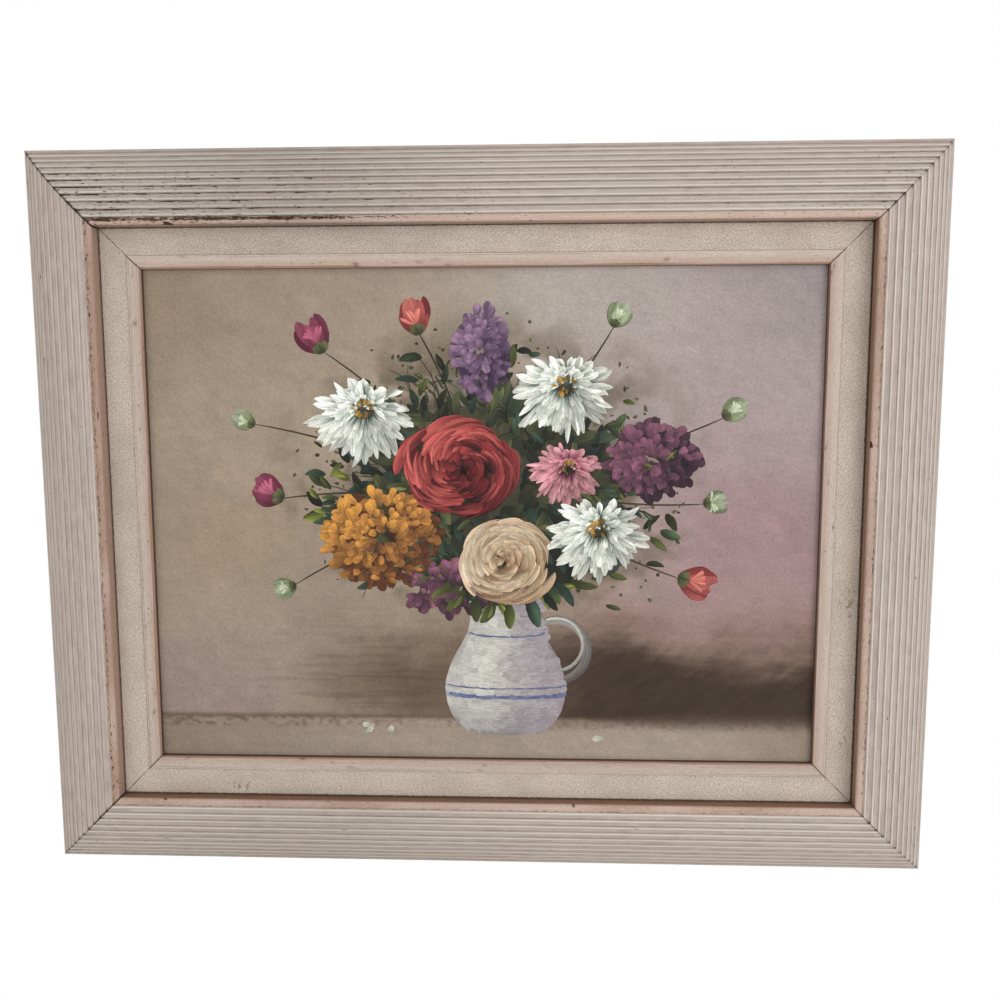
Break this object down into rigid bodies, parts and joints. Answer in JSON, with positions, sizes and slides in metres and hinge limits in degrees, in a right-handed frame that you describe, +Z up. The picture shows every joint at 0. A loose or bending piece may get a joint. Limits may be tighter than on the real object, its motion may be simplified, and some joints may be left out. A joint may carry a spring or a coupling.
{
  "type": "framed oil painting",
  "caption": "Floral still life in oils on stretched canvas, in a linen-faced liner and a reeded, paint-worn wooden frame that hangs on a wall nail.",
  "frame": {"origin": "the top of the hanger's middle notch, where the wall's nail bears", "axes": "+X to the viewer's right along the picture's width, -Y out of the picture towards the viewer, +Y to the wall, +Z up"},
  "size_m": [0.5332, 0.0411, 0.4316],
  "materials": {
    "moulding_paint": "worn cream and rose paint, dry-brushed over brown wood",
    "liner_paint": "matt rose paint with rubbed edges",
    "linen": "natural linen, plain weave",
    "painted_canvas": "oil paint brushed on primed canvas, low sheen",
    "bar_wood": "bare pine",
    "hanger_steel": "brass-plated strip",
    "point_steel": "zinc-plated steel"
  },
  "bodies": {
    "root": {"frame_rail_top": "moulding_paint", "liner_rail_top": "liner_paint", "liner_linen_top": "linen", "stretcher_bar_top": "bar_wood", "canvas_point_top_1": "point_steel", "liner_point_top_1": "point_steel", "canvas_point_top_2": "point_steel", "liner_point_top_2": "point_steel", "frame_rail_bottom": "moulding_paint", "liner_rail_bottom": "liner_paint", "liner_linen_bottom": "linen", "stretcher_bar_bottom": "bar_wood", "canvas_point_bottom_1": "point_steel", "liner_point_bottom_1": "point_steel", "canvas_point_bottom_2": "point_steel", "liner_point_bottom_2": "point_steel", "frame_rail_left": "moulding_paint", "liner_rail_left": "liner_paint", "liner_linen_left": "linen", "stretcher_bar_left": "bar_wood", "canvas_point_left_1": "point_steel", "liner_point_left_1": "point_steel", "frame_rail_right": "moulding_paint", "liner_rail_right": "liner_paint", "liner_linen_right": "linen", "stretcher_bar_right": "bar_wood", "canvas_point_right_1": "point_steel", "liner_point_right_1": "point_steel", "canvas": "painted_canvas", "sawtooth_hanger": "hanger_steel", "hanger_nail_left": "point_steel", "hanger_nail_right": "point_steel"}
  },
  "joints": []
}
